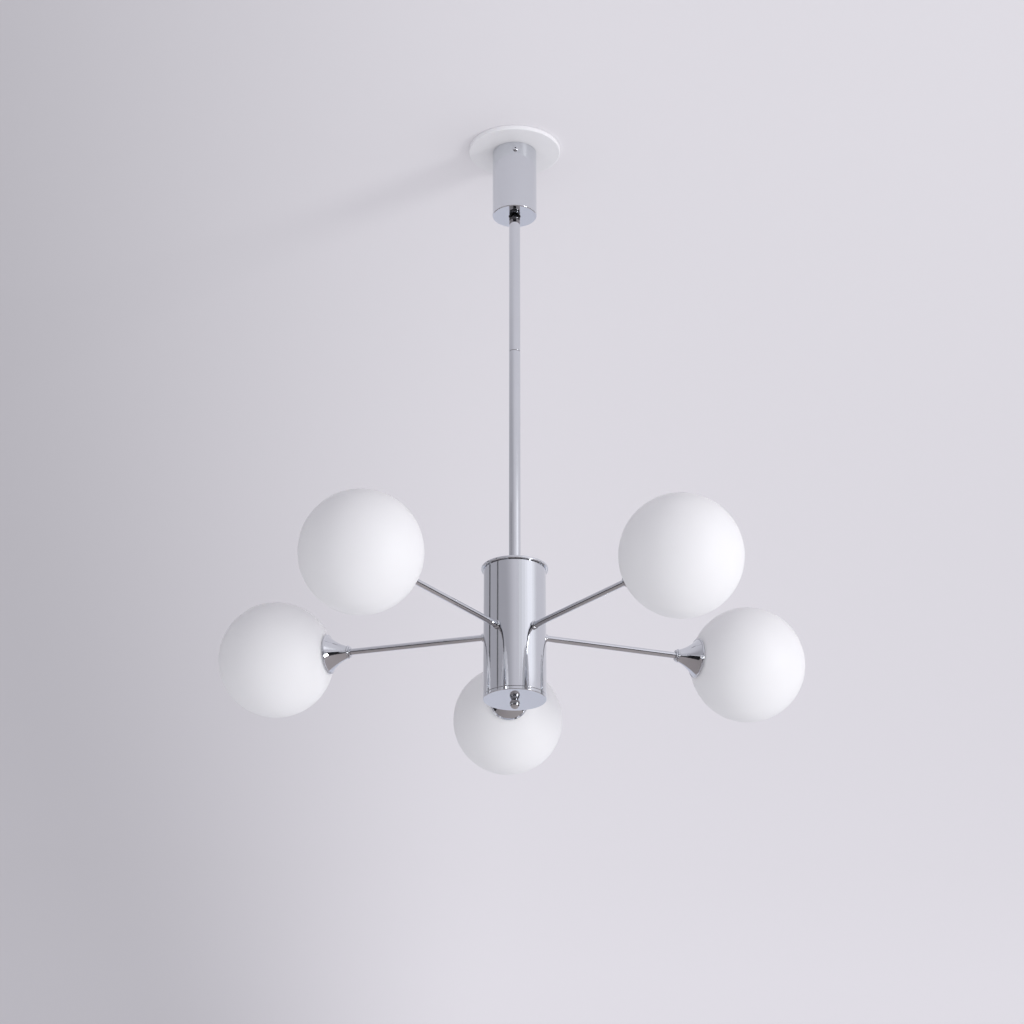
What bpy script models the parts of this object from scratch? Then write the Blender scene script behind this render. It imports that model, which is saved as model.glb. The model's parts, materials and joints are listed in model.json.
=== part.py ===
"""Five-arm globe chandelier: canopy, swivel down-rod, drum body, straight arms with
bell cups, push-in lamps and screw-on opal glass globes.

Metres, +Z up.  The origin is the centre of the ceiling plate's top face, so the
whole fitting hangs below z = 0.  Arm 1 points along +Y.
"""
import math

import bmesh
import bpy
from mathutils import Matrix, Vector

MM = 0.001

# ---------------------------------------------------------------- driving sizes
GAP = 0.3 * MM               # air between pieces that touch
SLACK = 0.4 * MM             # radial air round a screw or a tube in its hole
FINE_EDGE = 0.4 * MM         # chamfers: thin tubes and screws
CAP_EDGE = 0.6 * MM          # the drum's caps
EDGE = 0.8 * MM              # ceiling plate, terminal block, lampholder
WIDE_EDGE = 1 * MM           # canopy and collars
RUN = 5 * MM                 # how far a cutter runs past what it cuts

PLATE_D = 125 * MM           # white ceiling plate
PLATE_T = 6 * MM
CABLE_HOLE_D = 10 * MM
HOLE_MARGIN = 1 * MM         # cable hole to the canopy's wall

BAR_WIDTH = 16 * MM          # steel bar inside the canopy, along Y, ears turned down
BAR_T = 2 * MM
EAR_WIDTH = 14 * MM
EAR_DROP = 18 * MM
SLOT_WIDTH = 4.5 * MM        # slots for the ceiling screws
SLOT_LENGTH = 7.5 * MM
HEAD_MARGIN = 0.7 * MM       # screw head to its neighbours on the bar
EAR_MARGIN = 0.9 * MM        # ear to the canopy's wall

SCREW_D = 4 * MM             # M4 screws for plate and canopy
SCREW_HEAD_D = 7.5 * MM
SCREW_HEAD_H = 2.4 * MM
CANOPY_SCREW_DROP = 11 * MM  # below the canopy's top edge
CANOPY_SCREW_LENGTH = 8 * MM
SCREW_TIP = 0.6 * MM         # plate screw's end below the ceiling

TERMINAL_SIZE = (27 * MM, 14 * MM, 12 * MM)
TERMINAL_PITCH = 8.5 * MM
TERMINAL_HOLE_D = 3.6 * MM
TERMINAL_PEG_D = 4 * MM

CANOPY_D = 60 * MM
CANOPY_H = 100 * MM
CANOPY_WALL = 1.5 * MM
CANOPY_FLOOR = 2 * MM
SEAT_WALL = 3.5 * MM         # boss round the ball seat
SEAT_LIP = 1.2 * MM          # canopy floor below the ball seat

BALL_D = 18 * MM             # hang-straight ball joint
WASHER_T = 2 * MM
NECK_D = 10 * MM
BALL_BORE_D = 6 * MM
TILT = math.radians(10)      # each way, about X and about Y
TILT_SPARE = math.radians(2.4)    # neck to the seat's rim at full tilt
SWIVEL_SHOW = 7.5 * MM       # canopy underside to the rod's top end
SWIVEL_COLLAR_SIDE = 0.6     # top and bottom radius of the collar against its middle

ROD_D = 15 * MM
ROD_WALL = 1.5 * MM
UPPER_ROD_L = 200 * MM
LOWER_ROD_L = 300 * MM
THREAD_DEPTH = 12 * MM       # a stud's length inside a rod
NIPPLE_BORE_D = 8 * MM

COLLAR_D = 22 * MM           # collar nut between the rod and the drum
COLLAR_H = 11 * MM

CAP_D = 86 * MM              # top cap, wider than the drum
CAP_T = 3.5 * MM
BODY_D = 80 * MM
BODY_WALL = 1.5 * MM
BODY_H = 172 * MM
BOTTOM_T = 4.3 * MM
SPIGOT_H = 6 * MM            # locating rims of both caps inside the drum

HUB_D = 36 * MM              # five-way hub that the arms screw into
HUB_H = 24 * MM
HUB_WALL = 4 * MM
STUD_BORE_D = 6 * MM
STUD_FOOT_D = 6 * MM         # thin lower end that takes the ball nut
WIRE_HOLE_D = 5 * MM
STUD_STEP_DROP = 4 * MM      # arms' plane to where the stud becomes its foot
STUD_FLOOR = 1.5 * MM        # end of the stud's bore above that step

FINIAL_D = 13.5 * MM
FINIAL_DROP = 5.4 * MM       # bottom face of the drum to the ball's centre
FINIAL_NECK_D = 9.2 * MM

ARMS = 5
ARM_DROP = 88 * MM           # drum's top edge to the arms' plane
ARM_D = 8 * MM
ARM_WALL = 1 * MM
ARM_IN_HUB = 5 * MM          # the arm's length inside the hub's wall and hollow
ROOT_D = 10.8 * MM           # collar at the arm's root
ROOT_T = 3.4 * MM

BEAD_D = 18 * MM             # ring behind the bell cup
BEAD_T = 4 * MM
BEAD_REACH = 225 * MM        # lamp axis: from the drum's axis to the bead's outer face
CUP_NECK_D = 16 * MM
CUP_MOUTH_D = 53 * MM
CUP_L = 27 * MM
CUP_WALL = 1.2 * MM
CUP_BASE_T = 2 * MM
CUP_LIP = 1.6 * MM           # radius of the rolled lip
CUP_BEND = math.radians(27)  # how far the flare turns along its length

HOLDER_BUSH_D = 13 * MM      # push-in lampholder on the end of the arm
HOLDER_RIM = 1.7 * MM         # flange beyond the skirt
HOLDER_FLANGE_T = 1.5 * MM
HOLDER_SKIRT_D = 23 * MM
HOLDER_SKIRT_L = 11.5 * MM
HOLDER_TAPER_L = 3 * MM
ARM_IN_HOLDER = 4.4 * MM

PIN_D = 1.4 * MM             # lamp pins
PIN_PITCH = 9 * MM
PIN_L = 12 * MM
PIN_ROOT = 2 * MM            # inside the lamp's base
PIN_AIR = 1 * MM             # past the pin's end
LAMP_BASE_D = 14 * MM
LAMP_BASE_L = 6 * MM
LAMP_D = 16 * MM
LAMP_L = 52 * MM             # without the pins

GLOBE_D = 150 * MM
GLOBE_WALL = 2.5 * MM
LIP_CLEAR = 1 * MM           # glass to the bell cup's mouth
NECK_CLEAR = 0.4 * MM        # glass neck round the lampholder's skirt
GASKET_T = 1.9 * MM
GLOBE_BLEND = math.radians(3)    # neck to sphere

WIDE, MIDDLE, NARROW, THIN = 32, 24, 16, 12    # sides of a turned piece, by its width

# ---------------------------------------------------------------- worked-out sizes
ROD_R = ROD_D / 2
ROD_BORE_R = ROD_R - ROD_WALL
STUD_R = ROD_BORE_R - GAP

CANOPY_TOP = -PLATE_T - GAP
CANOPY_BOTTOM = CANOPY_TOP - CANOPY_H
CANOPY_BORE_R = CANOPY_D / 2 - CANOPY_WALL

EAR_AT = CANOPY_BORE_R - EAR_MARGIN - GAP - BAR_T / 2
BAR_SCREW_AT = EAR_AT - BAR_T / 2 - SCREW_HEAD_D / 2 - HEAD_MARGIN
SLOT_AT = BAR_SCREW_AT - (SCREW_HEAD_D + SLOT_LENGTH) / 2 - HEAD_MARGIN
CABLE_HOLE_AT = CANOPY_BORE_R - CABLE_HOLE_D / 2 - HOLE_MARGIN

BALL_R = BALL_D / 2
WASHER_IN_R = BALL_R + GAP
WASHER_OUT_R = WASHER_IN_R + WASHER_T
SEAT_R = WASHER_OUT_R + GAP
DIAGONAL_TILT = TILT * math.sqrt(2)
SEAT_OPEN = math.asin(NECK_D / 2 / SEAT_R) + DIAGONAL_TILT + TILT_SPARE
SEAT_TOP = math.radians(80)
WASHER_OPEN = math.asin(NECK_D / 2 / WASHER_IN_R) + TILT + TILT_SPARE
BALL_Z = CANOPY_BOTTOM + SEAT_LIP + SEAT_R * math.cos(SEAT_OPEN)

UPPER_ROD_TOP = CANOPY_BOTTOM - SWIVEL_SHOW
UPPER_ROD_END = UPPER_ROD_TOP - UPPER_ROD_L
LOWER_ROD_TOP = UPPER_ROD_END - GAP
LOWER_ROD_END = LOWER_ROD_TOP - LOWER_ROD_L
COLLAR_TOP = LOWER_ROD_END - GAP
CAP_TOP = COLLAR_TOP - COLLAR_H - GAP
CAP_BOTTOM = CAP_TOP - CAP_T
BODY_TOP = CAP_BOTTOM - GAP
BODY_END = BODY_TOP - BODY_H
BOTTOM_TOP = BODY_END - GAP
BOTTOM_FACE = BOTTOM_TOP - BOTTOM_T
ARM_Z = BODY_TOP - ARM_DROP

BODY_BORE_R = BODY_D / 2 - BODY_WALL
SPIGOT_R = BODY_BORE_R - GAP
HUB_BORE_R = HUB_D / 2 - HUB_WALL
STUD_HOLE_R = STUD_R + GAP
FOOT_HOLE_R = STUD_FOOT_D / 2 + GAP

ARM_START = HUB_D / 2 - ARM_IN_HUB
CUP_START = BEAD_REACH + GAP
CUP_MOUTH = CUP_START + CUP_L
HOLDER_START = CUP_START + CUP_BASE_T + GAP
ARM_END = HOLDER_START + ARM_IN_HOLDER
ARM_HOLE_R = ARM_D / 2 + SLACK


def flare(offset, steps=4):
    """(radius, distance) points of the bell's bent flare, neck to lip, moved inward by `offset`."""
    start = Vector((CUP_NECK_D / 2, CUP_START))
    end = Vector((CUP_MOUTH_D / 2 - CUP_LIP * 1.35, CUP_MOUTH - CUP_LIP * 1.6))
    chord = end - start
    heading = math.atan2(chord.x, chord.y)
    radius = chord.length / 2 / math.sin(CUP_BEND / 2)
    stride = 2 * radius * math.sin(CUP_BEND / steps / 2)
    points = []
    here = start.copy()
    for i in range(steps + 1):
        a = heading - CUP_BEND / 2 + CUP_BEND * i / steps
        points.append((here.x - offset * math.cos(a), here.y + offset * math.sin(a)))
        middle = a + CUP_BEND / steps / 2
        here += Vector((math.sin(middle), math.cos(middle))) * stride
    return points


def bore_reaches(radius):
    """Distance from the drum's axis at which the cup's bore is as wide as `radius`."""
    wall = flare(CUP_WALL)
    for (r0, d0), (r1, d1) in zip(wall, wall[1:]):
        if r1 >= radius:
            return d0 + (d1 - d0) * (radius - r0) / (r1 - r0)
    return wall[-1][1]


HOLDER_SKIRT_R = HOLDER_SKIRT_D / 2
HOLDER_FLANGE_R = HOLDER_SKIRT_R + HOLDER_RIM
FLANGE_START = bore_reaches(HOLDER_FLANGE_R + SLACK)
SKIRT_START = FLANGE_START + HOLDER_FLANGE_T
HOLDER_FRONT = SKIRT_START + HOLDER_SKIRT_L
GASKET_START = SKIRT_START + GAP
GLOBE_NECK_START = GASKET_START + GASKET_T + GAP
GLOBE_NECK_BORE_R = HOLDER_SKIRT_R + NECK_CLEAR
GLOBE_NECK_R = GLOBE_NECK_BORE_R + GLOBE_WALL
GLOBE_REACH = CUP_MOUTH + math.sqrt((GLOBE_D ** 2 - CUP_MOUTH_D ** 2) / 4) + LIP_CLEAR
LAMP_START = HOLDER_FRONT + GAP


# ---------------------------------------------------------------- helpers
def clear_scene():
    for obj in list(bpy.data.objects):
        bpy.data.objects.remove(obj, do_unlink=True)


def material(name, colour, roughness, metallic):
    mat = bpy.data.materials.new(name)
    mat.use_nodes = True
    shader = mat.node_tree.nodes["Principled BSDF"]
    shader.inputs["Base Color"].default_value = (*colour, 1.0)
    shader.inputs["Roughness"].default_value = roughness
    shader.inputs["Metallic"].default_value = metallic
    return mat


def smooth(mesh, angle=math.radians(40)):
    mesh.shade_smooth()
    mesh.set_sharp_from_angle(angle=angle)


def arc(centre, radius, start, end, steps):
    """Points of an arc in the (radius, height) plane; angles from the +radius axis."""
    points = []
    for i in range(steps + 1):
        a = start + (end - start) * i / steps
        points.append((centre[0] + radius * math.cos(a), centre[1] + radius * math.sin(a)))
    return points


def ball_arc(radius, start, end, steps, centre=0.0):
    """Arc about the axis point `centre`; angles measured from straight down."""
    points = []
    for i in range(steps + 1):
        a = start + (end - start) * i / steps
        points.append((radius * math.sin(a), centre - radius * math.cos(a)))
    return points


def turned_mesh(name, outline, segments):
    """Mesh of revolution about Z from a closed outline of (radius, height) points."""
    bm = bmesh.new()
    verts = [bm.verts.new((max(r, 0.0), 0.0, z)) for r, z in outline]
    edges = []
    for i, vert in enumerate(verts):
        other = verts[(i + 1) % len(verts)]
        if vert.co.x > 0 or other.co.x > 0:
            edges.append(bm.edges.new((vert, other)))
    bmesh.ops.spin(bm, geom=verts + edges, cent=(0, 0, 0), axis=(0, 0, 1),
                   angle=math.tau, steps=segments, use_merge=True, use_duplicate=False)
    bmesh.ops.remove_doubles(bm, verts=bm.verts, dist=0.00001)
    bmesh.ops.recalc_face_normals(bm, faces=bm.faces)
    mesh = bpy.data.meshes.new(name)
    bm.to_mesh(mesh)
    bm.free()
    smooth(mesh)
    return mesh


def box_mesh(name, size):
    bm = bmesh.new()
    bmesh.ops.create_cube(bm, size=1.0)
    bmesh.ops.scale(bm, vec=size, verts=bm.verts)
    mesh = bpy.data.meshes.new(name)
    bm.to_mesh(mesh)
    bm.free()
    return mesh


def place(name, mesh, mat=None, at=(0, 0, 0), turn=(0, 0, 0), parent=None):
    obj = bpy.data.objects.new(name, mesh)
    bpy.context.scene.collection.objects.link(obj)
    obj.location = at
    obj.rotation_euler = turn
    obj.parent = parent
    if mat is not None and not mesh.materials:
        mesh.materials.append(mat)
    return obj


def empty(name, at, turn=(0, 0, 0), parent=None):
    obj = place(name, None, at=at, turn=turn, parent=parent)
    obj.empty_display_size = 0.02
    return obj


def rod_cutter(name, radius, start, end, turn=(0, 0, 0), at=(0, 0, 0), parent=None, sides=THIN):
    """Hidden cylinder along its own Z, used only to cut a hole."""
    mesh = turned_mesh(name, [(0, start), (radius, start), (radius, end), (0, end)], sides)
    return hide(place(name, mesh, at=at, turn=turn, parent=parent))


def box_cutter(name, size, at):
    return hide(place(name, box_mesh(name, size), at=at))


def hide(obj):
    obj.hide_render = True
    obj.display_type = "WIRE"
    return obj


def boolean(obj, other, operation):
    mod = obj.modifiers.new(other.name, "BOOLEAN")
    mod.operation = operation
    mod.solver = "EXACT"
    mod.object = other


def cut(obj, *cutters):
    for cutter in cutters:
        boolean(obj, cutter, "DIFFERENCE")


def bevel(obj, width, segments=2):
    mod = obj.modifiers.new("edges", "BEVEL")
    mod.width = width
    mod.segments = segments
    mod.limit_method = "ANGLE"
    mod.angle_limit = math.radians(50)


# ---------------------------------------------------------------- materials
clear_scene()

CHROME = material("chrome", (0.72, 0.73, 0.76), 0.07, 1.0)
WHITE_PAINT = material("white paint", (0.88, 0.88, 0.88), 0.35, 0.0)
STEEL = material("zinc-plated steel", (0.55, 0.56, 0.57), 0.35, 1.0)
BRASS = material("brass", (0.72, 0.55, 0.27), 0.3, 1.0)
NYLON = material("black nylon", (0.03, 0.03, 0.03), 0.5, 0.0)
BLOCK_PLASTIC = material("clear-white plastic", (0.80, 0.80, 0.78), 0.4, 0.0)
CERAMIC = material("lampholder ceramic", (0.90, 0.89, 0.86), 0.45, 0.0)
LAMP_PLASTIC = material("frosted lamp", (0.93, 0.92, 0.88), 0.5, 0.0)
SILICONE = material("silicone", (0.75, 0.75, 0.75), 0.6, 0.0)
OPAL = material("opal glass", (0.90, 0.90, 0.91), 0.35, 0.0)

# ---------------------------------------------------------------- axes of the moving pieces
tilt_centre = empty("tilt_centre", (0, 0, BALL_Z))
drum_axis = empty("drum_axis", (0, 0, -BALL_Z), parent=tilt_centre)


def hanging(name, mesh, mat, **placing):
    """A piece that tilts with the rod and the drum."""
    return place(name, mesh, mat, parent=drum_axis, **placing)


# ---------------------------------------------------------------- ceiling plate and bar
def screw_mesh(name, length):
    """Pan-head screw: head below z = 0, shank above it."""
    head_r, shank_r = SCREW_HEAD_D / 2, SCREW_D / 2
    crown = SCREW_HEAD_H * 0.6
    outline = [(0, length), (shank_r - FINE_EDGE, length), (shank_r, length - FINE_EDGE), (shank_r, 0),
               (head_r, 0), (head_r, -(SCREW_HEAD_H - crown))]
    for i in range(1, 3):
        a = math.pi / 2 * i / 3
        outline.append((head_r * math.cos(a), -(SCREW_HEAD_H - crown) - crown * math.sin(a)))
    outline.append((0, -SCREW_HEAD_H))
    return turned_mesh(name, outline, THIN)


def slot_box(name, y, z_low, z_high):
    size = (SLOT_WIDTH, SLOT_LENGTH, z_high - z_low)
    return box_cutter(name, size, (0, y, (z_low + z_high) / 2))


def build_mounting():
    rim = PLATE_D / 2
    outline = [(0, 0), (rim - EDGE, 0), (rim, -EDGE), (rim, -PLATE_T + EDGE), (rim - EDGE, -PLATE_T),
               (0, -PLATE_T)]
    plate = place("ceiling_plate", turned_mesh("ceiling_plate", outline, WIDE), WHITE_PAINT)

    bar_z = -PLATE_T - GAP - BAR_T / 2
    bar = place("mounting_bar", box_mesh("mounting_bar", (BAR_WIDTH, 2 * EAR_AT, BAR_T)), STEEL,
                at=(0, 0, bar_z))
    screw_z = CANOPY_TOP - CANOPY_SCREW_DROP
    screw_hole_r = SCREW_D / 2 + GAP
    for side in (-1, 1):
        ear = box_cutter(f"ear_{side}", (EAR_WIDTH, BAR_T, EAR_DROP),
                         (0, side * EAR_AT, -PLATE_T - GAP - EAR_DROP / 2))
        boolean(bar, ear, "UNION")
    for side in (-1, 1):
        tapped = rod_cutter(f"tapped_{side}", screw_hole_r, -RUN, RUN, sides=8,
                            turn=(math.pi / 2, 0, 0), at=(0, side * EAR_AT, screw_z))
        slot = slot_box(f"ceiling_slot_{side}", side * SLOT_AT, -PLATE_T - 2 * BAR_T, RUN)
        hole = rod_cutter(f"bar_hole_{side}", screw_hole_r, -RUN, PLATE_T, sides=8,
                          at=(0, side * BAR_SCREW_AT, -PLATE_T - GAP + BAR_T / 2))
        cut(bar, tapped, slot, hole)
        cut(plate, slot, hole)
    peg_hole = rod_cutter("peg_hole", TERMINAL_PEG_D / 2 + GAP, -BAR_T, BAR_T, sides=8,
                          at=(0, 0, bar_z))
    cut(bar, peg_hole)
    cable_hole = rod_cutter("cable_hole", CABLE_HOLE_D / 2, -2 * PLATE_T, PLATE_T)
    cable_hole.location = Vector((CABLE_HOLE_AT, 0, 0)) @ Matrix.Rotation(math.radians(-45), 3, "Z")
    cut(plate, cable_hole)

    head_top = bar_z - BAR_T / 2 - GAP
    shank = -head_top - SCREW_TIP
    plate_screw = screw_mesh("plate_screw", shank)
    for side, word in ((-1, "front"), (1, "rear")):
        place(f"plate_screw_{word}", plate_screw, STEEL, at=(0, side * BAR_SCREW_AT, head_top))

    build_terminal_block(bar_z - BAR_T / 2 - GAP)
    return screw_z


def build_terminal_block(top):
    width, depth, height = TERMINAL_SIZE
    block = place("terminal_block", box_mesh("terminal_block", TERMINAL_SIZE), BLOCK_PLASTIC,
                  at=(0, 0, top - height / 2))
    bevel(block, EDGE, 1)
    peg = rod_cutter("terminal_peg", TERMINAL_PEG_D / 2, -BAR_T / 2, BAR_T, sides=THIN, at=(0, 0, top))
    boolean(block, peg, "UNION")
    for i in (-1, 0, 1):
        wire = rod_cutter(f"wire_way_{i}", TERMINAL_HOLE_D / 2, -depth, depth, sides=8,
                          turn=(math.pi / 2, 0, 0), at=(i * TERMINAL_PITCH, 0, top - height * 0.6))
        cut(block, wire)


# ---------------------------------------------------------------- canopy and ball joint
def build_canopy(screw_z):
    outer, bore = CANOPY_D / 2, CANOPY_BORE_R
    floor = CANOPY_BOTTOM + CANOPY_FLOOR
    boss_r = SEAT_R + SEAT_WALL
    seat = ball_arc(SEAT_R, SEAT_OPEN, SEAT_TOP, 4, BALL_Z)
    corner = (outer - WIDE_EDGE, CANOPY_BOTTOM + WIDE_EDGE)
    outline = [(outer - FINE_EDGE, CANOPY_TOP), (outer, CANOPY_TOP - FINE_EDGE), (outer, corner[1])]
    outline += arc(corner, WIDE_EDGE, -math.pi / 6, -math.pi / 2, 2)
    outline += [(seat[0][0] + FINE_EDGE, CANOPY_BOTTOM)]
    outline += seat
    outline += [(boss_r, seat[-1][1]), (boss_r, floor), (bore, floor), (bore, CANOPY_TOP)]
    canopy = place("canopy_cup", turned_mesh("canopy_cup", outline, MIDDLE), CHROME)

    screw = screw_mesh("canopy_screw", CANOPY_SCREW_LENGTH)
    for side, word in ((-1, "front"), (1, "rear")):
        hole = rod_cutter(f"canopy_hole_{word}", SCREW_D / 2 + SLACK, -RUN, RUN, sides=8,
                          turn=(math.pi / 2, 0, 0), at=(0, side * outer, screw_z))
        cut(canopy, hole)
        place(f"canopy_screw_{word}", screw, CHROME, at=(0, side * (outer + GAP), screw_z),
              turn=(side * math.pi / 2, 0, 0))


def build_swivel():
    outline = ball_arc(WASHER_OUT_R, WASHER_OPEN, SEAT_TOP, 3)
    outline += ball_arc(WASHER_IN_R, SEAT_TOP, WASHER_OPEN, 3)
    place("swivel_washer", turned_mesh("swivel_washer", outline, MIDDLE), NYLON, parent=tilt_centre)

    # ball, neck, round collar and the threaded stub inside the rod, bored for the cable
    bore, neck = BALL_BORE_D / 2, NECK_D / 2
    rod_top = UPPER_ROD_TOP - BALL_Z
    collar_top = CANOPY_BOTTOM - ROD_R * math.sin(DIAGONAL_TILT) - GAP - BALL_Z
    collar_low = rod_top + GAP
    top_angle = math.pi - math.asin((bore + WIDE_EDGE) / BALL_R)
    neck_angle = math.asin(neck / BALL_R)
    outline = [(bore, -BALL_R * math.cos(top_angle)), *reversed(ball_arc(BALL_R, neck_angle, top_angle, 7))]
    outline += [(neck, collar_top)]
    for i in range(1, 5):
        a = math.pi * i / 5
        bulge = SWIVEL_COLLAR_SIDE + (1 - SWIVEL_COLLAR_SIDE) * math.sin(a)
        outline.append((ROD_R * bulge, collar_top + (collar_low - collar_top) * (1 - math.cos(a)) / 2))
    outline += [(ROD_BORE_R + FINE_EDGE, collar_low), (STUD_R, collar_low),
                (STUD_R, collar_low - THREAD_DEPTH), (bore, collar_low - THREAD_DEPTH)]
    place("swivel_ball", turned_mesh("swivel_ball", outline, MIDDLE), CHROME, parent=tilt_centre)


# ---------------------------------------------------------------- rods
def tube_outline(outer, inner, top, bottom, edge=0.0):
    return [(inner, top), (outer - edge, top), (outer, top - edge), (outer, bottom + edge),
            (outer - edge, bottom), (inner, bottom)]


def build_rods():
    outline = tube_outline(ROD_R, ROD_BORE_R, UPPER_ROD_TOP, UPPER_ROD_END, FINE_EDGE)
    hanging("upper_rod", turned_mesh("upper_rod", outline, NARROW), CHROME)
    outline = tube_outline(ROD_R, ROD_BORE_R, LOWER_ROD_TOP, LOWER_ROD_END, FINE_EDGE)
    hanging("lower_rod", turned_mesh("lower_rod", outline, NARROW), CHROME)

    seam = (UPPER_ROD_END + LOWER_ROD_TOP) / 2
    outline = tube_outline(STUD_R, NIPPLE_BORE_D / 2, seam + THREAD_DEPTH, seam - THREAD_DEPTH)
    hanging("rod_nipple", turned_mesh("rod_nipple", outline, NARROW), BRASS)

    outline = tube_outline(COLLAR_D / 2, STUD_HOLE_R, COLLAR_TOP, COLLAR_TOP - COLLAR_H, WIDE_EDGE)
    hanging("rod_collar", turned_mesh("rod_collar", outline, NARROW), CHROME)


# ---------------------------------------------------------------- drum body
def cap_outline(outer, face, inner_face, hole, spigot_end):
    """Disc between `face` and `inner_face` with a locating rim that ends at `spigot_end`."""
    rim = SPIGOT_R - BODY_WALL
    away = CAP_EDGE if face > inner_face else -CAP_EDGE
    return [(hole, face), (outer - CAP_EDGE, face), (outer, face - away), (outer, inner_face + away / 2),
            (outer - CAP_EDGE / 2, inner_face), (SPIGOT_R, inner_face),
            (SPIGOT_R, spigot_end), (rim, spigot_end), (rim, inner_face), (hole, inner_face)]


def build_drum():
    outline = cap_outline(CAP_D / 2, CAP_TOP, CAP_BOTTOM, STUD_HOLE_R, CAP_BOTTOM - SPIGOT_H)
    hanging("top_cap", turned_mesh("top_cap", outline, WIDE), CHROME)

    outline = tube_outline(BODY_D / 2, BODY_BORE_R, BODY_TOP, BODY_END, FINE_EDGE)
    drum = hanging("drum_tube", turned_mesh("drum_tube", outline, WIDE), CHROME)

    outline = cap_outline(BODY_D / 2, BOTTOM_FACE, BOTTOM_TOP, FOOT_HOLE_R, BOTTOM_TOP + SPIGOT_H)
    hanging("bottom_cap", turned_mesh("bottom_cap", outline, WIDE), CHROME)

    hub_top, hub_end = ARM_Z + HUB_H / 2, ARM_Z - HUB_H / 2
    outline = [(STUD_HOLE_R, hub_top), (HUB_D / 2, hub_top), (HUB_D / 2, hub_end), (HUB_BORE_R, hub_end),
               (HUB_BORE_R, hub_top - HUB_WALL), (STUD_HOLE_R, hub_top - HUB_WALL)]
    hub = hanging("arm_hub", turned_mesh("arm_hub", outline, MIDDLE), STEEL)

    stud_top = LOWER_ROD_END + THREAD_DEPTH
    step = ARM_Z - STUD_STEP_DROP
    floor = step + STUD_FLOOR
    foot_end = BOTTOM_FACE - FINIAL_DROP
    outline = [(STUD_BORE_D / 2, stud_top), (STUD_R, stud_top), (STUD_R, step),
               (STUD_FOOT_D / 2, step - WIDE_EDGE), (STUD_FOOT_D / 2, foot_end), (0, foot_end),
               (0, floor), (STUD_BORE_D / 2, floor)]
    stud = hanging("centre_stud", turned_mesh("centre_stud", outline, THIN), STEEL)
    wire_hole = rod_cutter("wire_hole", WIRE_HOLE_D / 2, -STUD_R * 2, STUD_R * 2, sides=8,
                           turn=(0, math.pi / 2, 0), at=(0, 0, floor + WIRE_HOLE_D / 2 + SLACK),
                           parent=drum_axis)
    cut(stud, wire_hole)

    ball_r, neck_r = FINIAL_D / 2, FINIAL_NECK_D / 2
    centre = BOTTOM_FACE - GAP - FINIAL_DROP
    top = BOTTOM_FACE - GAP
    socket_end = foot_end - GAP
    start = math.pi - math.asin(neck_r / ball_r)
    outline = [(FOOT_HOLE_R, top), (neck_r, top)]
    outline += reversed(ball_arc(ball_r, 0, start, 7, centre))
    outline += [(0, socket_end), (FOOT_HOLE_R, socket_end)]
    hanging("ball_finial", turned_mesh("ball_finial", outline, NARROW), CHROME)
    return drum, hub


# ---------------------------------------------------------------- one lamp arm
def root_collar_outline():
    inner, outer = ARM_D / 2 + GAP, ROOT_D / 2
    start = BODY_D / 2 + GAP
    end = start + ROOT_T
    return [(inner, start), (outer, start), (outer, end - WIDE_EDGE), (outer - WIDE_EDGE, end), (inner, end)]


def bead_outline():
    """Half-round ring; its inner face backs the bell cup."""
    inner, outer = ARM_D / 2 + GAP, BEAD_D / 2
    start, half = BEAD_REACH - BEAD_T, BEAD_T / 2
    round_part = arc((outer - half, start + half), half, -math.pi / 2, math.pi / 2, 3)
    return [(inner, start), *round_part, (inner, BEAD_REACH)]


def cup_outline():
    outer, inner = flare(0), flare(CUP_WALL)
    lip = arc((CUP_MOUTH_D / 2 - CUP_LIP, CUP_MOUTH - CUP_LIP), CUP_LIP, -math.pi / 8, math.pi * 0.8, 3)
    base_top = CUP_START + CUP_BASE_T
    wall = [p for p in inner if p[1] > base_top + GAP]
    foot_r = wall[0][0] - GAP
    hole = ARM_D / 2 + GAP
    return [(hole, CUP_START), *outer, *lip, *reversed(wall), (foot_r, base_top), (hole, base_top)]


def holder_outline():
    bore = ARM_D / 2 + GAP
    bush, flange, skirt = HOLDER_BUSH_D / 2, HOLDER_FLANGE_R, HOLDER_SKIRT_R
    bore_end = ARM_END + GAP
    return [(bore, HOLDER_START), (bush, HOLDER_START), (bush, FLANGE_START - HOLDER_TAPER_L),
            (flange, FLANGE_START), (flange, SKIRT_START), (skirt, SKIRT_START),
            (skirt, HOLDER_FRONT - EDGE), (skirt - EDGE, HOLDER_FRONT), (0, HOLDER_FRONT),
            (0, bore_end), (bore, bore_end)]


def lamp_outline():
    base, body = LAMP_BASE_D / 2, LAMP_D / 2
    base_end = LAMP_START + LAMP_BASE_L
    dome = LAMP_START + LAMP_L - body
    rounded = arc((0, dome), body, 0, math.pi / 2, 4)[:-1]
    return [(0, LAMP_START), (base, LAMP_START), (base, base_end), (body, base_end + WIDE_EDGE),
            *rounded, (0, dome + body)]


def globe_outline():
    """Hollow sphere with a short straight neck towards the drum."""
    outer, inner = GLOBE_D / 2, GLOBE_D / 2 - GLOBE_WALL
    outer_start = math.asin(GLOBE_NECK_R / outer) + GLOBE_BLEND
    inner_start = math.asin(GLOBE_NECK_BORE_R / inner)
    shoulder = GLOBE_REACH - math.sqrt(outer ** 2 - GLOBE_NECK_R ** 2) - FINE_EDGE
    points = [(GLOBE_NECK_BORE_R, GLOBE_NECK_START), (GLOBE_NECK_R, GLOBE_NECK_START),
              (GLOBE_NECK_R, shoulder)]
    points += ball_arc(outer, outer_start, math.pi, 10, GLOBE_REACH)
    points += reversed(ball_arc(inner, inner_start, math.pi, 8, GLOBE_REACH))
    return points


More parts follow.
